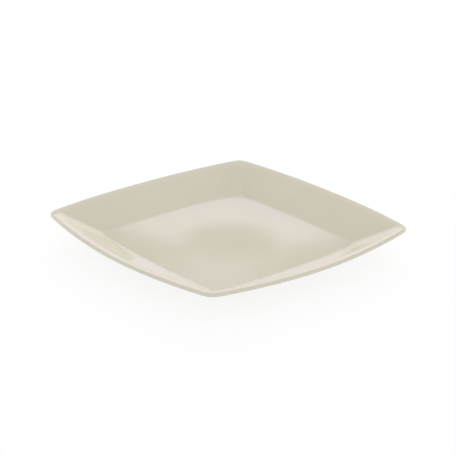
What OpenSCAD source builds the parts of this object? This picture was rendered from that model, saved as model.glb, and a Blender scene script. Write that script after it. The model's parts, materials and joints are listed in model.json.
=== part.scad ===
// Square dinner plate moulded in one piece: a flat floor, a wide sloping rim that levels out towards
// its edge, with bowed sides and slightly raised corners, and a low foot ring under the floor.
// The origin is the middle of the foot ring's underside, with +Z up and the sides along X and Y.

/* [Rim] */
// Width across the middles of two opposite sides
plate_w = 250; // [220:1:300]
// How far the middle of a side stands out past the ends of that side
rim_bow = 12.8; // [4:0.2:18]
// Radius of the rim's corners, seen from above
rim_corner_r = 12.4; // [8:0.4:24]
// Height of the rim's top above the table at the middle of a side
rim_h = 21.7; // [17:0.1:32]
// How much higher the rim stands at its corners
corner_lift = 2.1; // [0:0.1:5]
// Width of the band inside the edge over which the slope levels out
roll_w = 7; // [3:0.5:12]
// Share of the slope's steepness that is left where it meets the edge
crest_share = 0.2; // [0.05:0.05:1]
// Height of the rim's outer edge, from its underside to its top
edge_t = 3.2; // [2.6:0.1:5]
// Radius of the rounding along the top of the edge
edge_top_r = 1.2; // [0.4:0.1:1.4]
// Radius of the rounding along the bottom of the edge
edge_bottom_r = 0.8; // [0.3:0.1:1]

/* [Well] */
// Width of the flat floor across the middles of two opposite sides
floor_w = 164.6; // [130:0.2:180]
// How far the middle of a floor side stands out past its ends
floor_bow = 4; // [1:0.2:8]
// Radius of the floor's corners, seen from above
floor_corner_r = 8; // [4:0.2:20]
// Width of the curve that leads from the floor up into the rim's slope
sweep_w = 3; // [2:0.2:12]

/* [Underside] */
// Thickness of the floor
floor_t = 3; // [2.2:0.1:5]
// Height of the foot ring, from the table to the underside of the floor
foot_h = 2; // [1:0.1:4]
// Width of the foot ring's flat underside
foot_face_w = 3; // [2:0.2:6]
// Distance from the floor's outline in to the foot ring's outer face
foot_inset = 3; // [1:0.2:10]
// Radius of the foot ring's corners, on its outer face
foot_corner_r = 10; // [9:0.5:20]
// Width of the chamfer on both edges of the foot ring's underside
foot_chamfer = 0.5; // [0.2:0.1:0.9]

/* [Hidden] */

plate_colour = [0.85, 0.82, 0.74];

// Steps along half of a side and round half of a corner, seen from above
side_steps = 12;
corner_steps = 8;
// Steps up the curve between the floor and the slope, above and below
sweep_steps = 3;
under_sweep_steps = 2;
// Steps across the band where the slope levels out, above and below
roll_steps = 4;
under_roll_steps = 3;
// Steps round the top and the bottom of the edge
edge_top_steps = 5;
edge_bottom_steps = 3;

half_w = plate_w / 2;
floor_half_w = floor_w / 2;
floor_z = foot_h + floor_t;
// How sharply the raised corners set in along a side
lift_power = 1.5;

// The bowed square. Each side is an arc that stands out by bow in its middle, and each corner is
// an arc of radius r that runs smoothly into both sides.
function side_arc_r(w, bow) = ((w - bow) * (w - bow) + bow * bow) / (2 * bow);
function corner_centre(w, bow, r) =
    let (a = w - side_arc_r(w, bow), m = side_arc_r(w, bow) - r)
    (a + sqrt(2 * m * m - a * a)) / 2;
function corner_start(w, bow, r) =
    let (a = w - side_arc_r(w, bow), c = corner_centre(w, bow, r))
    atan2(c, c - a);

// Points from the middle of the side that faces +X to the diagonal
function eighth(w, bow, r) =
    let (
        side_r = side_arc_r(w, bow),
        c = corner_centre(w, bow, r),
        start = corner_start(w, bow, r)
    )
    concat(
        [for (i = [0 : side_steps - 1])
            let (t = start * i / side_steps)
            [w - side_r + side_r * cos(t), side_r * sin(t)]],
        [for (i = [0 : corner_steps])
            let (t = start + (45 - start) * i / corner_steps)
            [c + r * cos(t), c + r * sin(t)]]
    );

// The eighth and its mirror image, without the point that the next quarter starts with
function quarter(w, bow, r) =
    let (e = eighth(w, bow, r), n = len(e))
    concat(e, [for (i = [n - 2 : -1 : 1]) [e[i].y, e[i].x]]);

function outline(w, bow, r) =
    let (q = quarter(w, bow, r))
    [for (k = [0 : 3], p = q)
        k == 0 ? p : k == 1 ? [-p.y, p.x] : k == 2 ? [-p.x, -p.y] : [p.y, -p.x]];

// Rings of the plate, all with the same number of points
floor_ring = outline(floor_half_w, floor_bow, floor_corner_r);
slope_ring = outline(floor_half_w + sweep_w, floor_bow, floor_corner_r + sweep_w);
rim_ring = outline(half_w, rim_bow, rim_corner_r);
ring_points = len(rim_ring);
// Centre lines of the roundings along the top and the bottom of the edge
top_core = outline(half_w - edge_top_r, rim_bow, rim_corner_r - edge_top_r);
bottom_core = outline(half_w - edge_bottom_r, rim_bow, rim_corner_r - edge_bottom_r);

// Height of the rim's top at point i: it rises from the middle of a side towards the corners
function corner_share(i) =
    let (p = rim_ring[i])
    min(abs(p.x), abs(p.y)) / max([for (q = rim_ring) min(abs(q.x), abs(q.y))]);
rim_tops = [for (i = [0 : ring_points - 1]) rim_h + corner_lift * pow(corner_share(i), lift_power)];

// Steepness of a slope that climbs by rise over the ground distance run from its start. The curve
// below it climbs half as fast, and the band where it levels out climbs by the mean of its two ends.
function steepness(rise, run) = rise / (run + sweep_w / 2 - roll_w * (1 - crest_share) / 2);
// The slope at each point, first as if it ended over the rounding's centre line, and then where it
// runs smoothly into the rounding
rough_tilts = [for (i = [0 : ring_points - 1])
    atan(crest_share * steepness(rim_tops[i] - floor_z, norm(top_core[i] - slope_ring[i])))];
steeps = [for (i = [0 : ring_points - 1])
    let (tilt = rough_tilts[i])
    steepness(
        rim_tops[i] - edge_top_r * (1 - cos(tilt)) - floor_z,
        norm(top_core[i] - slope_ring[i]) - edge_top_r * sin(tilt)
    )];
crest_tilts = [for (steep = steeps) atan(crest_share * steep)];

function mix(a, b, t) = a + (b - a) * t;
function on_plan(p) = [p.x, p.y];

// A ring at share t of the curve, lowered by drop
function sweep_at(t, drop) =
    [for (i = [0 : ring_points - 1])
        let (p = mix(floor_ring[i], slope_ring[i], t))
        [p.x, p.y, floor_z - drop + steeps[i] * sweep_w * t * t / 2]];

// A ring of the top rounding, from the slope at share 0 over the crest to the outer face at 1
function edge_top_at(share) =
    [for (i = [0 : ring_points - 1])
        let (turn = mix(-crest_tilts[i], 90, share), p = mix(top_core[i], rim_ring[i], sin(turn)))
        [p.x, p.y, rim_tops[i] - edge_top_r * (1 - cos(turn))]];

// A ring of the bottom rounding, from the outer face at share 0 to the rim's underside at 1
function edge_bottom_at(share) =
    [for (i = [0 : ring_points - 1])
        let (turn = share * (90 - crest_tilts[i]), p = mix(bottom_core[i], rim_ring[i], cos(turn)))
        [p.x, p.y, rim_tops[i] - edge_t + edge_bottom_r * (1 - sin(turn))]];

// A ring of the band where the slope levels out, from the slope at share 0 to the edge at 1
crest_ring = edge_top_at(0);
function roll_at(share) =
    [for (i = [0 : ring_points - 1])
        let (
            crest = on_plan(crest_ring[i]),
            inwards = slope_ring[i] - crest,
            back = roll_w * (1 - share),
            p = crest + inwards * back / norm(inwards),
            fall = steeps[i] * (crest_share * back + (1 - crest_share) * back * back / (2 * roll_w))
        )
        [p.x, p.y, crest_ring[i].z - fall]];

// A ring under that band, which starts in line with the slope's underside and ends at the edge
roll_start = roll_at(0);
under_crest_ring = edge_bottom_at(1);
function under_roll_at(share) =
    [for (i = [0 : ring_points - 1])
        let (
            start = roll_start[i] - [0, 0, floor_t],
            end = under_crest_ring[i],
            climb = steeps[i] * norm(on_plan(end) - on_plan(start)),
            p = mix(start, end, share)
        )
        [p.x, p.y, start.z + climb * share + (end.z - start.z - climb) * share * share]];

// From the edge of the floor up over the rim and down to the middle of the underside
shell_rings = concat(
    [for (k = [0 : sweep_steps]) sweep_at(k / sweep_steps, 0)],
    [for (k = [0 : roll_steps - 1]) roll_at(k / roll_steps)],
    [for (k = [0 : edge_top_steps]) edge_top_at(k / edge_top_steps)],
    [for (k = [0 : edge_bottom_steps]) edge_bottom_at(k / edge_bottom_steps)],
    [for (k = [under_roll_steps - 1 : -1 : 0]) under_roll_at(k / under_roll_steps)],
    [for (k = [under_sweep_steps : -1 : 0]) sweep_at(k / under_sweep_steps, floor_t)]
);

// Triangles between ring j and ring k, for rings of n points that run anticlockwise from above
function band(n, j, k) =
    [for (i = [0 : n - 1], half = [0, 1])
        let (i2 = (i + 1) % n)
        half == 0 ? [j * n + i, j * n + i2, k * n + i] : [j * n + i2, k * n + i2, k * n + i]];

// Shell through the rings, closed by a flat face over the first ring and one under the last
module shell(rings) {
    n = len(rings[0]);
    last = len(rings) - 1;
    top = n * len(rings);
    polyhedron(
        points = concat(
            [for (ring = rings, p = ring) p],
            [[0, 0, rings[0][0].z], [0, 0, rings[last][0].z]]
        ),
        faces = concat(
            [for (i = [0 : n - 1]) [top, (i + 1) % n, i]],
            [for (i = [0 : n - 1]) [top + 1, last * n + i, last * n + (i + 1) % n]],
            [for (j = [0 : last - 1]) each band(n, j, j + 1)]
        )
    );
}

// Closed band through the rings, the last of which joins the first
module hoop(rings) {
    n = len(rings[0]);
    count = len(rings);
    polyhedron(
        points = [for (ring = rings, p = ring) p],
        faces = [for (j = [0 : count - 1]) each band(n, j, (j + 1) % count)]
    );
}

// A ring of the foot, at a distance in from its outer face and at height z
function foot_at(depth, z) =
    [for (p = outline(floor_half_w - foot_inset - depth, floor_bow, foot_corner_r - depth))
        [p.x, p.y, z]];

// Foot ring with chamfered edges, which runs up into the thickness of the floor
module foot_ring() {
    ring_w = foot_face_w + 2 * foot_chamfer;
    top = foot_h + floor_t / 2;
    hoop([
        foot_at(ring_w, top),
        foot_at(0, top),
        foot_at(0, foot_chamfer),
        foot_at(foot_chamfer, 0),
        foot_at(ring_w - foot_chamfer, 0),
        foot_at(ring_w, foot_chamfer)
    ]);
}

module plate() {
    color(plate_colour)
        union() {
            shell(shell_rings);
            foot_ring();
        }
}

plate();
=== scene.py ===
"""A square dinner plate, moulded in one piece, on a white studio table.

The plate's body is grown by Geometry Nodes from the sizes of its mould: a flat floor, a tight
sweep up into a wide slope that levels out at the rim, bowed sides and raised corners, a rounded
edge, and a low foot ring.
Its finish is a moulded resin, glossy above and matt below. What the gloss mirrors is painted in
the world's background.
"""

from __future__ import annotations

import json
import logging
import math
from collections.abc import Mapping, Sequence
from dataclasses import dataclass, fields
from enum import Enum
from functools import reduce
from typing import Any

import bpy
from mathutils import Matrix, Vector

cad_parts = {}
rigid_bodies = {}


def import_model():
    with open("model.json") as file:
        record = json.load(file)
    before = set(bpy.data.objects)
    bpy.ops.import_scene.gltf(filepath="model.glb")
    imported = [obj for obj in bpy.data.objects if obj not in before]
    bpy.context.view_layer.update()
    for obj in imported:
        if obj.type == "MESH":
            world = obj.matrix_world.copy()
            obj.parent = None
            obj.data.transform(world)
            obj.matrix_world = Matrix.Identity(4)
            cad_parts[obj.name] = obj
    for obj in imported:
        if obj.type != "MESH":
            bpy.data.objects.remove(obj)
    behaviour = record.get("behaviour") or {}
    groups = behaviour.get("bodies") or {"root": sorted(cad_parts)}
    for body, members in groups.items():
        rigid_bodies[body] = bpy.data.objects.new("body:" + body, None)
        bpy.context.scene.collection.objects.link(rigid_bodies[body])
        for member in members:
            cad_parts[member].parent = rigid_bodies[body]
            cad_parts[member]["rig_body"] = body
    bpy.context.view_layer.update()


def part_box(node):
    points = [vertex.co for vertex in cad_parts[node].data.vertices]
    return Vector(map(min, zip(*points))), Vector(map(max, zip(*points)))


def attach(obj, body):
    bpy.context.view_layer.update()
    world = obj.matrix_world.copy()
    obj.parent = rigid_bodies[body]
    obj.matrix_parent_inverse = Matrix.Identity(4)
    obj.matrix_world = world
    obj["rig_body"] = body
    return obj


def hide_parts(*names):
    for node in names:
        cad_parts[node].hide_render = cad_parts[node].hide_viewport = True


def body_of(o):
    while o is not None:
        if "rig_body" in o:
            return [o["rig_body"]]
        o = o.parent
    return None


LOG = logging.getLogger("plate")
MILLIMETRE = 0.001
SIDES = 4
QUARTER_TURN = math.pi / 2.0
WHITE = (1.0, 1.0, 1.0, 1.0)


class Ray(Enum):
    """The kinds of ray that look at the surroundings, by the Light Path node's outputs."""

    CAMERA = "Is Camera Ray"
    GLOSSY = "Is Glossy Ray"
    TRANSMISSION = "Is Transmission Ray"


class Mark(Enum):
    """Attributes of the plate's mesh that say which part of the plate a point belongs to."""

    WELL = "well"
    CREST = "crest"
    BELOW = "below"
    FOOT = "foot"


def sine(degrees: float) -> float:
    """The sine of an angle in degrees."""
    return math.sin(math.radians(degrees))


@dataclass(frozen=True)
class Number:
    """A number socket of a node tree, on which Python's operators add Math nodes."""

    tree: Tree
    socket: bpy.types.NodeSocket

    def math(self, operation: str, *operands: Operand) -> Number:
        """Adds one Math node.

        Args:
            operation: The Math node's operation.
            operands: What its sockets take, in order.

        Returns:
            The node's result.
        """
        sockets = dict(enumerate(operands))
        return self.tree.add("ShaderNodeMath", {"operation": operation}, sockets).number()

    def __add__(self, other: Operand) -> Number:
        """The sum."""
        return self.math("ADD", self, other)

    __radd__ = __add__

    def __sub__(self, other: Operand) -> Number:
        """The difference."""
        return self.math("SUBTRACT", self, other)

    def __rsub__(self, other: Operand) -> Number:
        """The difference, taken from a plain number."""
        return self.math("SUBTRACT", other, self)

    def __mul__(self, other: Operand) -> Number:
        """The product."""
        return self.math("MULTIPLY", self, other)

    __rmul__ = __mul__

    def __truediv__(self, other: Operand) -> Number:
        """The quotient."""
        return self.math("DIVIDE", self, other)

    def __pow__(self, other: Operand) -> Number:
        """The power."""
        return self.math("POWER", self, other)

    def __neg__(self) -> Number:
        """The number with its sign turned."""
        return self.math("MULTIPLY", self, -1.0)

    def __gt__(self, other: Operand) -> Number:
        """One where this number is the greater, and zero elsewhere."""
        return self.math("GREATER_THAN", self, other)

    def least(self, other: Operand) -> Number:
        """The smaller of two numbers."""
        return self.math("MINIMUM", self, other)

    def most(self, other: Operand) -> Number:
        """The larger of two numbers."""
        return self.math("MAXIMUM", self, other)

    def root(self) -> Number:
        """The square root."""
        return self.math("SQRT", self)

    def size(self) -> Number:
        """The number without its sign."""
        return self.math("ABSOLUTE", self)

    def floor(self) -> Number:
        """The whole number at or below this one."""
        return self.math("FLOOR", self)

    def sin(self) -> Number:
        """The sine of an angle in radians."""
        return self.math("SINE", self)

    def cos(self) -> Number:
        """The cosine of an angle in radians."""
        return self.math("COSINE", self)

    def over(self, other: Operand) -> Number:
        """The angle in radians whose tangent is this number over another."""
        return self.math("ARCTAN2", self, other)

    def blend(self, first: Operand, second: Operand) -> Number:
        """A value that goes from the first to the second as this number goes from zero to one."""
        return self * (second - first) + first

    def ease(self, low: float, high: float) -> Number:
        """A soft step.

        Args:
            low: Where the step begins, at zero.
            high: Where it ends, at one. It may be below low, and then the step falls.

        Returns:
            Zero to one.
        """
        places = {"Value": self, "From Min": low, "From Max": high}
        settings = {"interpolation_type": "SMOOTHSTEP"}
        return self.tree.add("ShaderNodeMapRange", settings, places).number()


Operand = Number | float


@dataclass(frozen=True)
class Node:
    """A node that was added to a tree."""

    tree: Tree
    node: bpy.types.Node

    def out(self, name: str | int = 0) -> bpy.types.NodeSocket:
        """An output socket, by its name, its identifier or its place."""
        return find_socket(self.node.outputs, name)

    def number(self, name: str | int = 0) -> Number:
        """An output socket as a number."""
        return Number(self.tree, self.out(name))


def find_socket(sockets: bpy.types.bpy_prop_collection, key: str | int) -> bpy.types.NodeSocket:
    """Finds a socket.

    Args:
        sockets: A node's inputs or outputs.
        key: The socket's identifier, its name, or its place in the list.

    Returns:
        The socket.
    """
    if isinstance(key, int):
        return sockets[key]
    return next((s for s in sockets if s.identifier == key), None) or sockets[key]


class Tree:
    """A node tree, with one way to add any node."""

    def __init__(self, tree: bpy.types.NodeTree) -> None:
        """Takes a node tree and empties it."""
        self.tree = tree
        tree.nodes.clear()

    def add(
        self,
        kind: str,
        settings: Mapping[str, Any] | None = None,
        sockets: Mapping[str | int, Any] | None = None,
    ) -> Node:
        """Adds a node.

        Args:
            kind: The node's type.
            settings: Its properties, such as a Math node's operation, which are set first.
            sockets: A value, a number or a socket for each of its inputs that is used.

        Returns:
            The new node.
        """
        node = self.tree.nodes.new(kind)
        for name, value in (settings or {}).items():
            setattr(node, name, value)
        for key, value in (sockets or {}).items():
            self._feed(find_socket(node.inputs, key), value)
        return Node(self, node)

    def mix_colours(self, share: Operand, first: Any, second: Any) -> bpy.types.NodeSocket:
        """Mixes two colours.

        Args:
            share: How much of the second colour there is.
            first: A colour or a colour socket.
            second: A colour or a colour socket.

        Returns:
            The mixed colour's socket.
        """
        sockets = {"Factor_Float": share, "A_Color": first, "B_Color": second}
        return self.add("ShaderNodeMix", {"data_type": "RGBA"}, sockets).out("Result_Color")

    def _feed(self, socket: bpy.types.NodeSocket, value: Any) -> None:
        """Links a number or a socket to an input, or sets the input's value.

        Args:
            socket: The input.
            value: What it takes.
        """
        if isinstance(value, Number):
            value = value.socket
        if isinstance(value, bpy.types.NodeSocket):
            self.tree.links.new(value, socket)
        else:
            socket.default_value = value


@dataclass(frozen=True)
class Point:
    """A place on the ground plan, in two numbers."""

    x: Number
    y: Number

    def towards(self, other: Point, share: Operand) -> Point:
        """The place that lies at a share of the way to another."""
        return Point(self.x + (other.x - self.x) * share, self.y + (other.y - self.y) * share)

    def scaled(self, share: Operand) -> Point:
        """The place drawn in towards the middle."""
        return Point(self.x * share, self.y * share)

    def distance(self, other: Point) -> Number:
        """The distance to another place."""
        return ((self.x - other.x) ** 2.0 + (self.y - other.y) ** 2.0).root()


# A ring round the plate: its place on the ground plan, and its height above the table.
Ring = tuple[Point, Operand]


@dataclass(frozen=True)
class Band:
    """A stretch of the plate's section, which runs once round the plate.

    Attributes:
        rows: How many rows of faces it has.
        ring: The ring at each place along the band.
        marks: The attributes that its points get.
    """

    rows: int
    ring: Ring
    marks: Mapping[Mark, Operand]


@dataclass(frozen=True)
class Rows:
    """How many rows of faces each band of the section has, from the well to the foot ring."""

    floor: int = 22
    sweep: int = 10
    slope: int = 12
    roll: int = 12
    edge_top: int = 14
    edge_face: int = 3
    edge_bottom: int = 8
    under_roll: int = 10
    under_slope: int = 12
    under_sweep: int = 8
    foot_margin: int = 4
    foot_arc: int = 5
    foot_side: int = 2
    foot_face: int = 4
    under_floor: int = 18


@dataclass(frozen=True)
class BowedSquare:
    """The rule for the plate's outlines, as a node group.

    A bowed square's sides are arcs that stand out in their middle, and its corners are arcs that
    run smoothly into both sides. Half a side and half a corner are worked out, mirrored for the
    other half, and turned round for the other sides.

    Attributes:
        side_steps: Steps along half of a side.
        corner_steps: Steps round half of a corner.
    """

    side_steps: int = 24
    corner_steps: int = 16

    @property
    def steps_around(self) -> int:
        """Steps once round the outline."""
        return SIDES * 2 * (self.side_steps + self.corner_steps)

    def group(self) -> bpy.types.NodeTree:
        """Makes the node group, which turns a share of the way round into a place.

        Returns:
            The group.
        """
        group = bpy.data.node_groups.new("bowed_square", "GeometryNodeTree")
        names = ("Share", "Half Width", "Bow", "Corner Radius")
        for name in names:
            group.interface.new_socket(name, in_out="INPUT", socket_type="NodeSocketFloat")
        for name in ("X", "Y"):
            group.interface.new_socket(name, in_out="OUTPUT", socket_type="NodeSocketFloat")
        tree = Tree(group)
        given = tree.add("NodeGroupInput")
        share, half_width, bow, corner_radius = (given.number(name) for name in names)

        quarter = (share * SIDES).floor()
        in_quarter = share * SIDES - quarter
        fold = 1.0 - (in_quarter * 2.0 - 1.0).size()
        side_share = self.side_steps / (self.side_steps + self.corner_steps)
        on_corner = fold > side_share

        side_radius = ((half_width - bow) ** 2.0 + bow ** 2.0) / (bow * 2.0)
        side_centre = half_width - side_radius
        reach = side_radius - corner_radius
        corner_centre = (side_centre + (2.0 * reach * reach - side_centre * side_centre).root()) / 2.0
        start = corner_centre.over(corner_centre - side_centre)
        along_side = (fold / side_share).least(1.0)
        along_corner = ((fold - side_share) / (1.0 - side_share)).most(0.0)
        turn = start * along_side + (QUARTER_TURN / 2.0 - start) * along_corner

        radius = on_corner.blend(side_radius, corner_radius)
        x = on_corner.blend(side_centre, corner_centre) + radius * turn.cos()
        y = on_corner * corner_centre + radius * turn.sin()
        mirrored = in_quarter > 0.5
        one, two = mirrored.blend(x, y), mirrored.blend(y, x)
        swing = quarter * QUARTER_TURN
        outputs = {
            "X": one * swing.cos() - two * swing.sin(),
            "Y": one * swing.sin() + two * swing.cos(),
        }
        tree.add("NodeGroupOutput", sockets=outputs)
        return group


@dataclass(frozen=True)
class Plate:
    """The plate's body. All sizes are in metres.

    Attributes:
        half_width: From the middle to the middle of a side.
        rim_height: The rim's top above the table, at the middle of a side.
        corner_lift: How much higher the rim stands at its corners.
        bow: How far a side stands out past its ends.
        corner_radius: Of the rim, seen from above.
        edge: Height of the rim's outer edge.
        edge_top: Radius along the top of the edge.
        edge_bottom: Radius along the bottom of the edge.
        floor_half_width: From the middle to the middle of the floor's side.
        floor_bow: How far a side of the floor stands out past its ends.
        floor_corner_radius: Of the floor, seen from above.
        sweep: Width of the curve from the floor up into the slope.
        roll: Width of the band inside the edge over which the slope levels out.
        crest_share: Share of the slope's steepness that is left where it meets the edge.
        floor_thickness: Of the floor and of the slope, measured upright.
        foot_height: Of the foot ring, below the floor's underside.
        foot_face: Width of the foot ring's flat face.
        foot_inset: From the floor's outline in to the foot ring.
        foot_corner_radius: Of the foot ring, seen from above.
        foot_rounding: Radius along both edges of the foot ring's face.
        foot_fillet: Radius where the foot ring meets the floor.
    """

    half_width: float
    rim_height: float
    corner_lift: float = 2.1 * MILLIMETRE
    bow: float = 12.8 * MILLIMETRE
    corner_radius: float = 12.4 * MILLIMETRE
    edge: float = 3.2 * MILLIMETRE
    edge_top: float = 1.2 * MILLIMETRE
    edge_bottom: float = 0.8 * MILLIMETRE
    floor_half_width: float = 82.3 * MILLIMETRE
    floor_bow: float = 4.0 * MILLIMETRE
    floor_corner_radius: float = 8.0 * MILLIMETRE
    sweep: float = 3.0 * MILLIMETRE
    roll: float = 7.0 * MILLIMETRE
    crest_share: float = 0.2
    floor_thickness: float = 3.0 * MILLIMETRE
    foot_height: float = 2.0 * MILLIMETRE
    foot_face: float = 3.0 * MILLIMETRE
    foot_inset: float = 3.0 * MILLIMETRE
    foot_corner_radius: float = 10.0 * MILLIMETRE
    foot_rounding: float = 0.5 * MILLIMETRE
    foot_fillet: float = 0.6 * MILLIMETRE

    @classmethod
    def from_frame(cls, node: str) -> Plate:
        """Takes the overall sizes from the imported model.

        Args:
            node: The plate's node.

        Returns:
            The plate.
        """
        low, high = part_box(node)
        return cls(half_width=(high.x - low.x) / 2.0, rim_height=high.z - low.z - cls.corner_lift)

    def make(self, material: bpy.types.Material) -> bpy.types.Object:
        """Makes the plate's mesh.

        Args:
            material: Its finish.

        Returns:
            A plain mesh object at the origin.
        """
        grower = bpy.data.objects.new("plate_grower", bpy.data.meshes.new("plate_grower"))
        bpy.context.scene.collection.objects.link(grower)
        tree = PlateTree(material)
        modifier = grower.modifiers.new("plate", "NODES")
        modifier.node_group = tree.group
        for size in fields(self):
            modifier[tree.inputs[size.name]] = getattr(self, size.name)
        bpy.context.view_layer.update()
        evaluated = grower.evaluated_get(bpy.context.evaluated_depsgraph_get())
        mesh = bpy.data.meshes.new_from_object(evaluated)
        mesh.name = "plate_body"
        bpy.data.objects.remove(grower)
        body = bpy.data.objects.new("plate_body", mesh)
        bpy.context.scene.collection.objects.link(body)
        return body


class PlateTree:
    """The Geometry Nodes tree that grows the plate.

    Each band of the section is a grid of its own. Across the grid runs the way round the plate,
    and up the grid runs the way along the section, which goes from the middle of the floor out
    over the rim and back under to the middle of the underside.

    Attributes:
        ROWS: The rows of faces in each band.
        GRID_SIDE: The side of a band's grid before its points are moved.
        FIRST_CORNER: The share of the way round at which the first corner's middle lies.
        LIFT_POWER: How late along a side the rim rises towards the corner, where one is evenly.
        MERGE_DISTANCE: How close two points lie that become one.
    """

    ROWS = Rows()
    GRID_SIDE = 1.0
    FIRST_CORNER = 0.5 / SIDES
    LIFT_POWER = 1.5
    MERGE_DISTANCE = 0.002 * MILLIMETRE

    def __init__(self, material: bpy.types.Material) -> None:
        """Builds the tree.

        Args:
            material: The finish that the mesh gets.
        """
        self.group = bpy.data.node_groups.new("plate", "GeometryNodeTree")
        sockets = self.group.interface
        self.inputs: dict[str, str] = {}
        for size in fields(Plate):
            socket = sockets.new_socket(size.name, in_out="INPUT", socket_type="NodeSocketFloat")
            self.inputs[size.name] = socket.identifier
        sockets.new_socket("Geometry", in_out="OUTPUT", socket_type="NodeSocketGeometry")
        self.tree = Tree(self.group)
        self.outline_rule = BowedSquare()
        self.outline_group = self.outline_rule.group()
        given = self.tree.add("NodeGroupInput")
        self.size = {size.name: given.number(size.name) for size in fields(Plate)}
        place = self.tree.add("GeometryNodeInputPosition")
        grid = self.tree.add("ShaderNodeSeparateXYZ", sockets={"Vector": place.out()})
        self.around = self.GRID_SIDE / 2.0 - grid.number("X")
        self.along = grid.number("Y") + self.GRID_SIDE / 2.0
        self._draw_outlines()
        self._finish([*self._well(), *self._rim(), *self._underside(), *self._foot()], material)

    def _outline(
        self,
        half_width: Operand,
        bow: Operand,
        corner_radius: Operand,
        share: Operand | None = None,
    ) -> Point:
        """A place on a bowed square.

        Args:
            half_width: From its middle to the middle of a side.
            bow: How far its sides stand out.
            corner_radius: The radius of its corners.
            share: The share of the way round, or the band's own.

        Returns:
            The place.
        """
        sockets = {
            "Share": self.around if share is None else share,
            "Half Width": half_width,
            "Bow": bow,
            "Corner Radius": corner_radius,
        }
        node = self.tree.add("GeometryNodeGroup", {"node_tree": self.outline_group}, sockets)
        return Point(node.number("X"), node.number("Y"))

    def _rim_line(self, inset: Operand, share: Operand | None = None) -> Point:
        """A place on the rim's outline.

        Args:
            inset: How far the outline is drawn in.
            share: The share of the way round, or the band's own.

        Returns:
            The place.
        """
        size = self.size
        half_width, corner_radius = size["half_width"] - inset, size["corner_radius"] - inset
        return self._outline(half_width, size["bow"], corner_radius, share)

    def _foot_line(self, depth: Operand) -> Point:
        """A place on the foot ring's outline.

        Args:
            depth: How far the outline is drawn in.

        Returns:
            The place.
        """
        size = self.size
        half_width = size["floor_half_width"] - size["foot_inset"] - depth
        return self._outline(half_width, size["floor_bow"], size["foot_corner_radius"] - depth)

    def _draw_outlines(self) -> None:
        """Works out the lines that the bands run between, and how steep the slope is."""
        size = self.size
        half_width, corner_radius = size["floor_half_width"], size["floor_corner_radius"]
        sweep = size["sweep"]
        self.floor_line = self._outline(half_width, size["floor_bow"], corner_radius)
        self.slope_line = self._outline(half_width + sweep, size["floor_bow"], corner_radius + sweep)
        self.rim_line = self._rim_line(0.0)
        self.top_core = self._rim_line(size["edge_top"])
        self.bottom_core = self._rim_line(size["edge_bottom"])
        self.floor_height = size["foot_height"] + size["floor_thickness"]

        corner = self._rim_line(0.0, self.FIRST_CORNER).x
        corner_share = (self.rim_line.x.size().least(self.rim_line.y.size()) / corner).least(1.0)
        self.rim_top = size["rim_height"] + size["corner_lift"] * corner_share ** self.LIFT_POWER
        rise = self.rim_top - self.floor_height
        run = self.top_core.distance(self.slope_line)
        rough_tilt = (self._steepness(rise, run) * size["crest_share"]).over(1.0)
        self.steep = self._steepness(
            rise - size["edge_top"] * (1.0 - rough_tilt.cos()),
            run - size["edge_top"] * rough_tilt.sin(),
        )
        self.crest_tilt = (self.steep * size["crest_share"]).over(1.0)
        self.crest = self._edge_top_at(0.0)
        self.roll_start = self._roll_at(0.0)

    def _steepness(self, rise: Number, run: Number) -> Number:
        """How steep the slope is, if it climbs by rise over run with the sweep and the roll."""
        size = self.size
        return rise / (run + size["sweep"] / 2.0 - size["roll"] * (1.0 - size["crest_share"]) / 2.0)

    def _sweep_at(self, share: Operand, drop: Operand) -> Ring:
        """The ring at a share of the sweep, lowered by drop."""
        climb = self.steep * self.size["sweep"] * (share * share) / 2.0
        return self.floor_line.towards(self.slope_line, share), self.floor_height - drop + climb

    def _roll_at(self, share: Operand) -> Ring:
        """A ring on the roll, where the slope levels out towards the edge.

        Args:
            share: How far along the roll it lies, from the slope to the edge.

        Returns:
            The ring.
        """
        crest, height = self.crest
        roll, left = self.size["roll"], self.size["crest_share"]
        back = roll * (1.0 - share)
        fall = self.steep * (left * back + (1.0 - left) * back * back / (roll * 2.0))
        return crest.towards(self.slope_line, back / crest.distance(self.slope_line)), height - fall

    def _edge_top_at(self, share: Operand) -> Ring:
        """A ring on the edge's top rounding.

        Args:
            share: How far round it lies, from the roll to the outer face.

        Returns:
            The ring.
        """
        turn = (self.crest_tilt + QUARTER_TURN) * share - self.crest_tilt
        point = self.top_core.towards(self.rim_line, turn.sin())
        return point, self.rim_top - self.size["edge_top"] * (1.0 - turn.cos())

    def _edge_bottom_at(self, share: Operand) -> Ring:
        """A ring on the edge's bottom rounding.

        Args:
            share: How far round it lies, from the outer face inwards.

        Returns:
            The ring.
        """
        turn = (QUARTER_TURN - self.crest_tilt) * share
        point = self.bottom_core.towards(self.rim_line, turn.cos())
        rounding = self.size["edge_bottom"] * (1.0 - turn.sin())
        return point, self.rim_top - self.size["edge"] + rounding

    def _under_roll_start(self) -> Ring:
        """The ring on the underside where the slope begins to level out."""
        point, height = self.roll_start
        return point, height - self.size["floor_thickness"]

    def _under_roll_at(self, share: Operand) -> Ring:
        """A ring on the underside of the roll, which runs on from the slope's underside.

        Args:
            share: How far along it lies, from the edge inwards.

        Returns:
            The ring.
        """
        outer, outer_height = self._edge_bottom_at(1.0)
        inner, inner_height = self._under_roll_start()
        left = 1.0 - share
        climb = self.steep * outer.distance(inner)
        height = inner_height + climb * left + (outer_height - inner_height - climb) * left * left
        return outer.towards(inner, share), height

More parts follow.
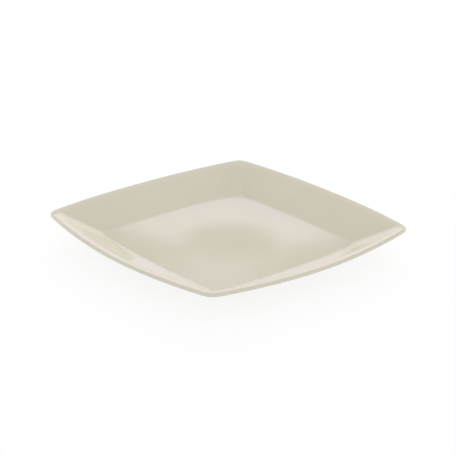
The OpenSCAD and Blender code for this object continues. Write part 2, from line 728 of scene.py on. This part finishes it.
    def _between(
        self,
        rows: int,
        first: Ring,
        last: Ring,
        marks: Mapping[Mark, Operand] | None = None,
    ) -> Band:
        """A straight band between two rings, with its rows gathered towards both.

        Args:
            rows: How many rows of faces it has.
            first: The ring at its start.
            last: The ring at its end.
            marks: The attributes that its points get.

        Returns:
            The band.
        """
        share = (1.0 - (self.along * math.pi).cos()) / 2.0
        ring = first[0].towards(last[0], share), share.blend(first[1], last[1])
        return Band(rows, ring, marks or {})

    def _well(self) -> list[Band]:
        """The floor, the sweep, the slope and the roll, seen from above.

        Returns:
            The bands.
        """
        rows = self.ROWS
        reach = (self.along * QUARTER_TURN).sin()
        return [
            Band(rows.floor, (self.floor_line.scaled(reach), self.floor_height), {Mark.WELL: 1.0}),
            Band(rows.sweep, self._sweep_at(self.along, 0.0), {Mark.WELL: 1.0 - self.along}),
            self._between(rows.slope, self._sweep_at(1.0, 0.0), self.roll_start),
            Band(rows.roll, self._roll_at(self.along), {}),
        ]

    def _rim(self) -> list[Band]:
        """The rim's outer edge: its top rounding, its face and its bottom rounding.

        Returns:
            The bands.
        """
        rows = self.ROWS
        crest = {Mark.CREST: (self.along * math.pi).sin()}
        return [
            Band(rows.edge_top, self._edge_top_at(self.along), crest),
            self._between(rows.edge_face, self._edge_top_at(1.0), self._edge_bottom_at(0.0)),
            Band(rows.edge_bottom, self._edge_bottom_at(self.along), {Mark.BELOW: self.along}),
        ]

    def _underside(self) -> list[Band]:
        """The roll, the slope, the sweep and the floor from below, as far as the foot ring.

        Returns:
            The bands.
        """
        rows, size = self.ROWS, self.size
        below = {Mark.BELOW: 1.0}
        drop = size["floor_thickness"]
        foot_start = (self._foot_line(-size["foot_fillet"]), size["foot_height"])
        return [
            Band(rows.under_roll, self._under_roll_at(self.along), below),
            self._between(rows.under_slope, self._under_roll_start(), self._sweep_at(1.0, drop), below),
            Band(rows.under_sweep, self._sweep_at(1.0 - self.along, drop), below),
            self._between(rows.foot_margin, self._sweep_at(0.0, drop), foot_start, below),
        ]

    def _foot(self) -> list[Band]:
        """The foot ring, and the underside of the floor within it.

        Returns:
            The bands.
        """
        rows, size = self.ROWS, self.size
        height, rounding, fillet = size["foot_height"], size["foot_rounding"], size["foot_fillet"]
        width = size["foot_face"] + rounding * 2.0
        side_top = height - fillet
        below = {Mark.BELOW: 1.0}
        face = {Mark.BELOW: 1.0, Mark.FOOT: 1.0}
        middle = self._foot_line(width + fillet).scaled((self.along * QUARTER_TURN).cos())
        return [
            self._foot_arc((-fillet, side_top), fillet, (1, 0), below),
            self._foot_flat(rows.foot_side, (0.0, side_top), (0.0, rounding), below),
            self._foot_arc((rounding, rounding), rounding, (2, 3), face),
            self._foot_flat(rows.foot_face, (rounding, 0.0), (width - rounding, 0.0), face),
            self._foot_arc((width - rounding, rounding), rounding, (3, 4), face),
            self._foot_flat(rows.foot_side, (width, rounding), (width, side_top), below),
            self._foot_arc((width + fillet, side_top), fillet, (2, 1), below),
            Band(rows.under_floor, (middle, height), below),
        ]

    def _foot_arc(
        self,
        centre: tuple[Operand, Operand],
        radius: Number,
        turns: tuple[int, int],
        marks: Mapping[Mark, Operand],
    ) -> Band:
        """A rounding of the foot ring.

        Args:
            centre: The depth and height of its centre in the section.
            radius: Its radius.
            turns: The angles that it starts and ends at, in quarter turns from straight inwards.
            marks: The attributes that its points get.

        Returns:
            The band.
        """
        depth, height = centre
        turn = self.along.blend(*turns) * QUARTER_TURN
        ring = self._foot_line(depth + radius * turn.cos()), height + radius * turn.sin()
        return Band(self.ROWS.foot_arc, ring, marks)

    def _foot_flat(
        self,
        rows: int,
        first: tuple[Operand, Operand],
        last: tuple[Operand, Operand],
        marks: Mapping[Mark, Operand],
    ) -> Band:
        """A straight band of the foot ring.

        Args:
            rows: How many rows of faces it has.
            first: The depth and height of its start in the section.
            last: The depth and height of its end.
            marks: The attributes that its points get.

        Returns:
            The band.
        """
        start, end = ((self._foot_line(depth), height) for depth, height in (first, last))
        return self._between(rows, start, end, marks)

    def _grow(self, band: Band) -> bpy.types.NodeSocket:
        """Makes a band's grid and moves its points into place.

        Args:
            band: The band.

        Returns:
            The band's geometry.
        """
        counts = {
            "Size X": self.GRID_SIDE,
            "Size Y": self.GRID_SIDE,
            "Vertices X": self.outline_rule.steps_around + 1,
            "Vertices Y": band.rows + 1,
        }
        geometry = self.tree.add("GeometryNodeMeshGrid", sockets=counts).out("Mesh")
        for mark, value in band.marks.items():
            sockets = {"Geometry": geometry, "Name": mark.value, "Value": value}
            geometry = self.tree.add("GeometryNodeStoreNamedAttribute", sockets=sockets).out()
        point, height = band.ring
        place = {"X": point.x, "Y": point.y, "Z": height}
        position = self.tree.add("ShaderNodeCombineXYZ", sockets=place).out()
        moved = {"Geometry": geometry, "Position": position}
        return self.tree.add("GeometryNodeSetPosition", sockets=moved).out()

    def _finish(self, bands: Sequence[Band], material: bpy.types.Material) -> None:
        """Joins the bands into one closed skin and gives it its finish.

        Args:
            bands: The bands, in any order.
            material: The finish.
        """
        join = self.tree.add("GeometryNodeJoinGeometry")
        for band in reversed(bands):
            self.group.links.new(self._grow(band), join.node.inputs[0])
        merge = {"Geometry": join.out(), "Distance": self.MERGE_DISTANCE}
        geometry = self.tree.add("GeometryNodeMergeByDistance", sockets=merge).out()
        geometry = self.tree.add("GeometryNodeSetShadeSmooth", sockets={"Geometry": geometry}).out()
        geometry = self.tree.add("GeometryNodeRealizeInstances", sockets={"Geometry": geometry}).out()
        dressed = {"Geometry": geometry, "Material": material}
        geometry = self.tree.add("GeometryNodeSetMaterial", sockets=dressed).out()
        self.tree.add("NodeGroupOutput", sockets={"Geometry": geometry})


@dataclass(frozen=True)
class Grain:
    """A noise pattern that runs through the resin.

    Attributes:
        scale: How many features it has to the metre.
        detail: How many finer layers it has.
    """

    scale: float
    detail: float

    def make(self, tree: Tree, place: bpy.types.NodeSocket) -> Number:
        """Adds the pattern to a tree, as a number from zero to one."""
        sockets = {"Vector": place, "Scale": self.scale, "Detail": self.detail}
        return tree.add("ShaderNodeTexNoise", sockets=sockets).number("Fac")


@dataclass(frozen=True)
class MouldedResin:
    """The plate's finish: a beige moulded resin, glossy above and matt below.

    Attributes:
        colour: Of the resin.
        refraction: The resin's index of refraction.
        gloss: Roughness of the polished faces.
        underside: Roughness of the underside.
        crest_wear: How much rougher the rim's edge is.
        cloud: The resin's slow variation.
        cloud_shade: How much it changes the colour.
        cloud_gloss: How much it changes the roughness.
        fleck: The resin's fine flecks.
        fleck_shade: How much they change the colour.
        scuff: The pattern of the scuffs on the foot ring's face, where it slides over tables.
        scuff_border: Where in that pattern a scuff begins, and where it is full.
        scuff_colour: Of a scuff.
        scuff_cover: How much of the resin's colour a scuff hides.
        scuff_wear: How much rougher a scuff is.
        hairline: The pattern of the fine lines that cutlery leaves on the floor.
        hairline_border: Where in that pattern a line begins, and where it is full.
        hairline_sets: The sets of lines: how far each is turned, in radians, and drawn out.
        hairline_wear: How much rougher a line is.
        hairline_depth: How deep a line is, where the ripple's height is one.
        ripple: The skin's faint waves.
        ripple_height: How high they are.
        bead: The finer grain of the underside.
        bead_height: How high it is, where the ripple's height is one.
    """

    colour: tuple[float, float, float, float] = (0.705, 0.662, 0.540, 1.0)
    refraction: float = 1.5
    gloss: float = 0.04
    underside: float = 0.34
    crest_wear: float = 0.04
    cloud: Grain = Grain(scale=26.0, detail=3.0)
    cloud_shade: float = 0.05
    cloud_gloss: float = 0.02
    fleck: Grain = Grain(scale=1500.0, detail=1.0)
    fleck_shade: float = 0.02
    scuff: Grain = Grain(scale=420.0, detail=4.0)
    scuff_border: tuple[float, float] = (0.42, 0.6)
    scuff_colour: tuple[float, float, float, float] = (0.60, 0.58, 0.50, 1.0)
    scuff_cover: float = 0.8
    scuff_wear: float = 0.2
    hairline: Grain = Grain(scale=32.0, detail=2.0)
    hairline_border: tuple[float, float] = (0.66, 0.72)
    hairline_sets: tuple[tuple[float, float], ...] = ((0.6, 38.0), (-1.1, 46.0))
    hairline_wear: float = 0.03
    hairline_depth: float = 0.6
    ripple: Grain = Grain(scale=180.0, detail=1.0)
    ripple_height: float = 0.0012 * MILLIMETRE
    bead: Grain = Grain(scale=2600.0, detail=2.0)
    bead_height: float = 3.0

    def make(self) -> bpy.types.Material:
        """Makes the material.

        Returns:
            The material.
        """
        material = bpy.data.materials.new("moulded_resin")
        material.use_nodes = True
        tree = Tree(material.node_tree)
        place = tree.add("ShaderNodeTexCoord").out("Object")
        marks = {mark: self._mark(tree, mark) for mark in Mark}
        cloud = self.cloud.make(tree, place) - 0.5
        scuffs = marks[Mark.FOOT] * self.scuff.make(tree, place).ease(*self.scuff_border)
        lines = self._hairlines(tree, place) * marks[Mark.WELL]
        roughness = self.gloss + cloud * self.cloud_gloss
        roughness = roughness + marks[Mark.BELOW] * (self.underside - self.gloss)
        roughness = roughness + marks[Mark.CREST] * self.crest_wear
        roughness = roughness + lines * self.hairline_wear + scuffs * self.scuff_wear
        shader = {
            "Base Color": self._colour(tree, place, cloud, scuffs),
            "Roughness": roughness,
            "IOR": self.refraction,
            "Normal": self._relief(tree, place, marks[Mark.BELOW], lines),
        }
        surface = tree.add("ShaderNodeBsdfPrincipled", sockets=shader).out()
        tree.add("ShaderNodeOutputMaterial", sockets={"Surface": surface})
        return material

    @staticmethod
    def _mark(tree: Tree, mark: Mark) -> Number:
        """Reads one of the mesh's attributes."""
        return tree.add("ShaderNodeAttribute", {"attribute_name": mark.value}).number("Fac")

    def _colour(
        self,
        tree: Tree,
        place: bpy.types.NodeSocket,
        cloud: Number,
        scuffs: Number,
    ) -> bpy.types.NodeSocket:
        """The resin's colour, with its clouds and flecks, and the scuffs over it.

        Args:
            tree: The material's tree.
            place: The place on the plate.
            cloud: The slow variation about zero.
            scuffs: How much of a scuff there is.

        Returns:
            The colour's socket.
        """
        fleck = self.fleck.make(tree, place) - 0.5
        shade = 1.0 + cloud * self.cloud_shade + fleck * self.fleck_shade
        grey = tree.add("ShaderNodeCombineXYZ", sockets={"X": shade, "Y": shade, "Z": shade}).out()
        factors = {0: self.colour[:3], 1: grey}
        clouded = tree.add("ShaderNodeVectorMath", {"operation": "MULTIPLY"}, factors).out()
        return tree.mix_colours(scuffs * self.scuff_cover, clouded, self.scuff_colour)

    def _hairlines(self, tree: Tree, place: bpy.types.NodeSocket) -> Number:
        """Fine lines that cutlery leaves on the floor, in two directions.

        Args:
            tree: The material's tree.
            place: The place on the plate.

        Returns:
            How much of a line there is, from zero to one.
        """
        sets = []
        for turn, stretch in self.hairline_sets:
            sockets = {"Vector": place, "Rotation": (0.0, 0.0, turn), "Scale": (1.0, stretch, 1.0)}
            turned = tree.add("ShaderNodeMapping", sockets=sockets).out()
            sets.append(self.hairline.make(tree, turned).ease(*self.hairline_border))
        return reduce(Number.most, sets)

    def _relief(
        self,
        tree: Tree,
        place: bpy.types.NodeSocket,
        below: Number,
        lines: Number,
    ) -> bpy.types.NodeSocket:
        """The moulded skin's own relief: a faint ripple, finer grain below, and the hairlines.

        Args:
            tree: The material's tree.
            place: The place on the plate.
            below: One on the underside, and zero above.
            lines: How much of a hairline there is.

        Returns:
            The normal's socket.
        """
        beads = self.bead.make(tree, place) * below * self.bead_height
        height = self.ripple.make(tree, place) + beads - lines * self.hairline_depth
        sockets = {"Height": height, "Strength": 1.0, "Distance": self.ripple_height}
        return tree.add("ShaderNodeBump", sockets=sockets).out()


@dataclass(frozen=True)
class Camera:
    """The camera that took the photograph, as the plate's outlines in it give it.

    Attributes:
        azimuth: Degrees round the plate from the view along +Y.
        elevation: Degrees above the horizon.
        roll: Degrees about the view's own axis.
        distance: From the point it looks at.
        lens: Focal length in millimetres, for Blender's sensor of 36 mm.
        aim_right: How far the point it looks at lies to the right of the plate's origin.
        aim_up: How far it lies above the origin, along the picture's upright.
        nearest: The least distance at which it sees things.
        farthest: The greatest one.
    """

    azimuth: float = 49.299
    elevation: float = 22.255
    roll: float = -0.865
    distance: float = 1339.35 * MILLIMETRE
    lens: float = 119.63
    aim_right: float = 0.921 * MILLIMETRE
    aim_up: float = 14.633 * MILLIMETRE
    nearest: float = 0.05
    farthest: float = 50.0

    @property
    def right(self) -> Vector:
        """The level direction to the camera's right."""
        turn = math.radians(self.azimuth)
        return Vector((math.cos(turn), math.sin(turn), 0.0))

    @property
    def ahead(self) -> Vector:
        """The level direction in which the camera looks."""
        turn = math.radians(self.azimuth)
        return Vector((-math.sin(turn), math.cos(turn), 0.0))

    def make(self) -> bpy.types.Object:
        """Puts up the camera and makes it the scene's.

        Returns:
            The camera.
        """
        climb, roll = math.radians(self.elevation), math.radians(self.roll)
        right = self.right
        back = Vector((0.0, 0.0, math.sin(climb))) - self.ahead * math.cos(climb)
        up = back.cross(right)
        place = right * self.aim_right + up * self.aim_up + back * self.distance
        across = right * math.cos(roll) - up * math.sin(roll)
        upright = right * math.sin(roll) + up * math.cos(roll)
        turned = Matrix((across, upright, back)).transposed().to_4x4()
        camera = bpy.data.objects.new("camera", bpy.data.cameras.new("camera"))
        camera.data.lens = self.lens
        camera.data.clip_start = self.nearest
        camera.data.clip_end = self.farthest
        camera.matrix_world = Matrix.Translation(place) @ turned
        bpy.context.scene.collection.objects.link(camera)
        bpy.context.scene.camera = camera
        return camera


@dataclass(frozen=True)
class SoftBox:
    """A square studio lamp that points at the plate.

    Attributes:
        name: The lamp's name.
        place: Where its middle is.
        side: Its width and height.
        glow: How bright its face is, where one is white.
    """

    name: str
    place: tuple[float, float, float]
    side: float
    glow: float

    def make(self) -> bpy.types.Object:
        """Puts up the lamp.

        Returns:
            The lamp.
        """
        data = bpy.data.lights.new(self.name, "AREA")
        data.shape = "SQUARE"
        data.size = self.side
        data.energy = self.glow * math.pi * self.side ** 2
        lamp = bpy.data.objects.new(self.name, data)
        lamp.location = self.place
        lamp.rotation_mode = "QUATERNION"
        lamp.rotation_quaternion = Vector(self.place).to_track_quat("Z", "Y")
        lamp.visible_glossy = False
        bpy.context.scene.collection.objects.link(lamp)
        return lamp


@dataclass(frozen=True)
class Gaze:
    """Where a ray that looks at the surroundings points.

    Attributes:
        aside: The sine of its angle to the right of the camera's view.
        upward: The sine of its height.
        ahead: How much of it runs the way the camera looks, on the level.
    """

    aside: Number
    upward: Number
    ahead: Number

    @classmethod
    def read(cls, tree: Tree, camera: Camera) -> Gaze:
        """Adds the nodes that read it.

        Args:
            tree: The world's tree.
            camera: The camera.

        Returns:
            The gaze.
        """
        direction = tree.add("ShaderNodeTexCoord").out("Generated")
        upward = tree.add("ShaderNodeSeparateXYZ", sockets={"Vector": direction}).number("Z")
        along = {"operation": "DOT_PRODUCT"}
        aside = tree.add("ShaderNodeVectorMath", along, {0: direction, 1: camera.right})
        ahead = tree.add("ShaderNodeVectorMath", along, {0: direction, 1: camera.ahead})
        return cls(aside.number("Value"), upward, ahead.number("Value"))


@dataclass(frozen=True)
class Fade:
    """A soft border between two angles.

    Attributes:
        start: The angle in degrees at which it begins, at zero.
        end: The angle at which it ends, at one. It may be below start, and then it falls.
    """

    start: float
    end: float

    def at(self, angle_sine: Number) -> Number:
        """How far across it a ray points, by the sine of the ray's angle."""
        return angle_sine.ease(sine(self.start), sine(self.end))


@dataclass(frozen=True)
class DarkSpot:
    """Something dark at the backdrop's top, with a round outline.

    Attributes:
        aside: How many degrees its middle lies to the right of the camera's view.
        height: The height of its middle in degrees.
        half_width: Degrees from its middle to its side.
        half_height: Degrees from its middle to its top.
        core: Share of these within which it is fully dark.
    """

    aside: float = 0.1
    height: float = 22.75
    half_width: float = 2.25
    half_height: float = 0.82
    core: float = 0.55

    def cover(self, gaze: Gaze) -> Number:
        """How much of it a ray meets.

        Args:
            gaze: Where the ray points.

        Returns:
            Zero to one.
        """
        middle, top = sine(self.height), sine(self.height + self.half_height)
        sideways = (gaze.aside - sine(self.aside)) / sine(self.half_width)
        upwards = (gaze.upward - middle) / (top - middle)
        return (sideways ** 2.0 + upwards ** 2.0).root().ease(1.0, self.core)


@dataclass(frozen=True)
class LightPatch:
    """A patch of light in the gap above the backdrop.

    Attributes:
        aside: How many degrees its middle lies to the right of the camera's view.
        sides: Degrees to either side of its middle over which it fades in.
        foot: Heights in degrees over which it fades in.
        glow: How bright it is.
    """

    aside: float = -0.4
    sides: Fade = Fade(3.2, 0.0)
    foot: Fade = Fade(22.7, 23.8)
    glow: float = 0.56

    def cover(self, gaze: Gaze) -> Number:
        """How much of it a ray meets, from zero to one."""
        off_middle = (gaze.aside - sine(self.aside)).size()
        return self.sides.at(off_middle) * self.foot.at(gaze.upward)


@dataclass(frozen=True)
class Surroundings:
    """What stands around the table, painted in the world's background.

    Light falls on the plate evenly from all around. What the plate's gloss mirrors is a white
    backdrop behind it, a dark gap above the backdrop, a dim room, a ceiling, and a white panel at
    either side. Heights and angles are in degrees.

    Attributes:
        ambience: How bright the room is for light that falls on the plate.
        backdrop_top: Heights over which the backdrop gives way to the gap.
        backdrop_colour: The backdrop's colour.
        arch: How fast the backdrop's top falls off to both sides.
        arch_aside: The angle to the right of the camera's view at which it is highest.
        spot: Something dark at the backdrop's top.
        gap_glow: How bright the gap is.
        patch: A patch of light in the gap.
        gap_top: Heights over which the gap gives way to the room.
        room_glow: How bright the room is.
        room_colour: The colour of all that isn't the backdrop.
        ceiling: Heights over which the room brightens up to the ceiling.
        ceiling_glow: How bright the ceiling is.
        panel_side: Angles to either side over which the backdrop gives way to a panel.
        panel_top: Heights over which a panel comes in, from above.
        panel_glow: How bright the panels are.
        tint_top: Heights over which the backdrop's colour gives way to the room's.
        tint_ahead: How much of a ray must run ahead for the backdrop's colour in full.
    """

    ambience: float = 0.86
    backdrop_top: Fade = Fade(22.65, 23.39)
    backdrop_colour: tuple[float, float, float, float] = (0.83, 0.785, 1.04, 1.0)
    arch: float = 1.94
    arch_aside: float = 0.44
    spot: DarkSpot = DarkSpot()
    gap_glow: float = 0.03
    patch: LightPatch = LightPatch()
    gap_top: Fade = Fade(25.0, 30.0)
    room_glow: float = 0.27
    room_colour: tuple[float, float, float, float] = (0.88, 0.85, 0.89, 1.0)
    ceiling: Fade = Fade(40.0, 66.0)
    ceiling_glow: float = 0.8
    panel_side: Fade = Fade(7.5, 9.8)
    panel_top: Fade = Fade(34.0, 32.0)
    panel_glow: float = 1.08
    tint_top: Fade = Fade(30.0, 40.0)
    tint_ahead: float = 0.1

    def make(self, camera: Camera) -> None:
        """Paints the world's background.

        Args:
            camera: The camera, which looks at the middle of the backdrop.
        """
        world = bpy.data.worlds.new("studio")
        world.use_nodes = True
        bpy.context.scene.world = world
        tree = Tree(world.node_tree)
        path = tree.add("ShaderNodeLightPath")
        glossy = path.number(Ray.GLOSSY.value)
        seen = path.number(Ray.CAMERA.value).most(path.number(Ray.TRANSMISSION.value))
        gaze = Gaze.read(tree, camera)
        beside = self.panel_side.at(gaze.aside.size())
        mirrored = self._brightness(gaze, beside)
        strength = seen.blend(glossy.blend(self.ambience, mirrored), 1.0)
        colour = tree.mix_colours(glossy, WHITE, self._tint(tree, gaze, beside))
        light = {"Color": colour, "Strength": strength}
        background = tree.add("ShaderNodeBackground", sockets=light).out()
        tree.add("ShaderNodeOutputWorld", sockets={"Surface": background})

    def _brightness(self, gaze: Gaze, beside: Number) -> Number:
        """How bright the surroundings are as the gloss mirrors them.

        Args:
            gaze: Where a ray points.
            beside: How much of a panel it meets, below the panel's top.

        Returns:
            The brightness, where one is white.
        """
        arched = gaze.upward + self.arch * (gaze.aside - sine(self.arch_aside)) ** 2.0
        gap = self.patch.cover(gaze).blend(self.gap_glow, self.patch.glow)
        glow = self.backdrop_top.at(arched).blend(1.0, gap) * (1.0 - self.spot.cover(gaze))
        glow = glow + self.gap_top.at(gaze.upward) * (self.room_glow - gap)
        glow = glow + self.ceiling.at(gaze.upward) * (self.ceiling_glow - self.room_glow)
        on_panel = beside * self.panel_top.at(gaze.upward)
        return on_panel.blend(glow, self.panel_glow)

    def _tint(self, tree: Tree, gaze: Gaze, beside: Number) -> bpy.types.NodeSocket:
        """The colour of the surroundings as the gloss mirrors them.

        Args:
            tree: The world's tree.
            gaze: Where a ray points.
            beside: How much of a panel it meets, below the panel's top.

        Returns:
            The colour's socket.
        """
        facing = gaze.ahead.ease(0.0, self.tint_ahead)
        on_backdrop = (1.0 - beside) * (1.0 - self.tint_top.at(gaze.upward)) * facing
        return tree.mix_colours(on_backdrop, self.room_colour, self.backdrop_colour)


@dataclass(frozen=True)
class Studio:
    """The plain studio: a white table, its surroundings and a soft lamp behind the plate.

    Attributes:
        table_side: The table's width.
        table_gap: How far the table lies below the foot ring, so that they don't fall together.
        table_colour: Of the table's lit surface.
        shadow_share: How much of the table's look is that surface, which holds the shadow.
        surroundings: What stands around the table.
        lamps: The soft boxes.
    """

    table_side: float = 6.0
    table_gap: float = 0.02 * MILLIMETRE
    table_colour: tuple[float, float, float, float] = (0.99, 0.99, 0.99, 1.0)
    shadow_share: float = 0.12
    surroundings: Surroundings = Surroundings()
    lamps: tuple[SoftBox, ...] = (
        SoftBox("back_box", place=(-1.217, 1.217, 0.526), side=1.0, glow=7.9),
    )

    def make(self, camera: Camera) -> None:
        """Sets up the table, the surroundings and the lamps.

        Args:
            camera: The camera, which looks at the middle of the backdrop.
        """
        self._make_table()
        self.surroundings.make(camera)
        for lamp in self.lamps:
            lamp.make()

    def _make_table(self) -> None:
        """Lays the table, which is no part of the plate."""
        half, level = self.table_side / 2.0, -self.table_gap
        corners = [(x * half, y * half, level) for x, y in ((-1, -1), (1, -1), (1, 1), (-1, 1))]
        mesh = bpy.data.meshes.new("table")
        mesh.from_pydata(corners, [], [range(len(corners))])
        mesh.materials.append(self._white_surface())
        table = bpy.data.objects.new("table", mesh)
        bpy.context.scene.collection.objects.link(table)

    def _white_surface(self) -> bpy.types.Material:
        """The table's material, which is plain white to the eye but for a share that is lit.

        Returns:
            The material.
        """
        material = bpy.data.materials.new("white_table")
        material.use_nodes = True
        tree = Tree(material.node_tree)
        path = tree.add("ShaderNodeLightPath")
        camera, glossy, transmission = (path.number(ray.value) for ray in Ray)
        share = camera.most(glossy).most(transmission) * (1.0 - self.shadow_share)
        lit = tree.add("ShaderNodeBsdfDiffuse", sockets={"Color": self.table_colour}).out()
        white = tree.add("ShaderNodeEmission", sockets={"Color": WHITE, "Strength": 1.0}).out()
        mixed = tree.add("ShaderNodeMixShader", sockets={0: share, 1: lit, 2: white}).out()
        tree.add("ShaderNodeOutputMaterial", sockets={"Surface": mixed})
        return material


def describe(piece: bpy.types.Object) -> None:
    """Reports a piece in the log.

    Args:
        piece: The piece.
    """
    counts = len(piece.data.vertices), len(piece.data.polygons)
    LOG.info("%s: %d points, %d faces, on %s", piece.name, *counts, body_of(piece))


def main() -> None:
    """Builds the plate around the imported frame, and the studio around the plate."""
    logging.basicConfig(level=logging.INFO, format="%(name)s: %(message)s")
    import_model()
    camera = Camera()
    camera.make()
    bpy.context.scene.view_settings.view_transform = "Standard"

    body = Plate.from_frame("plate").make(MouldedResin().make())
    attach(body, "root")
    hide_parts("plate")
    describe(body)
    Studio().make(camera)


if __name__ == "__main__":
    main()
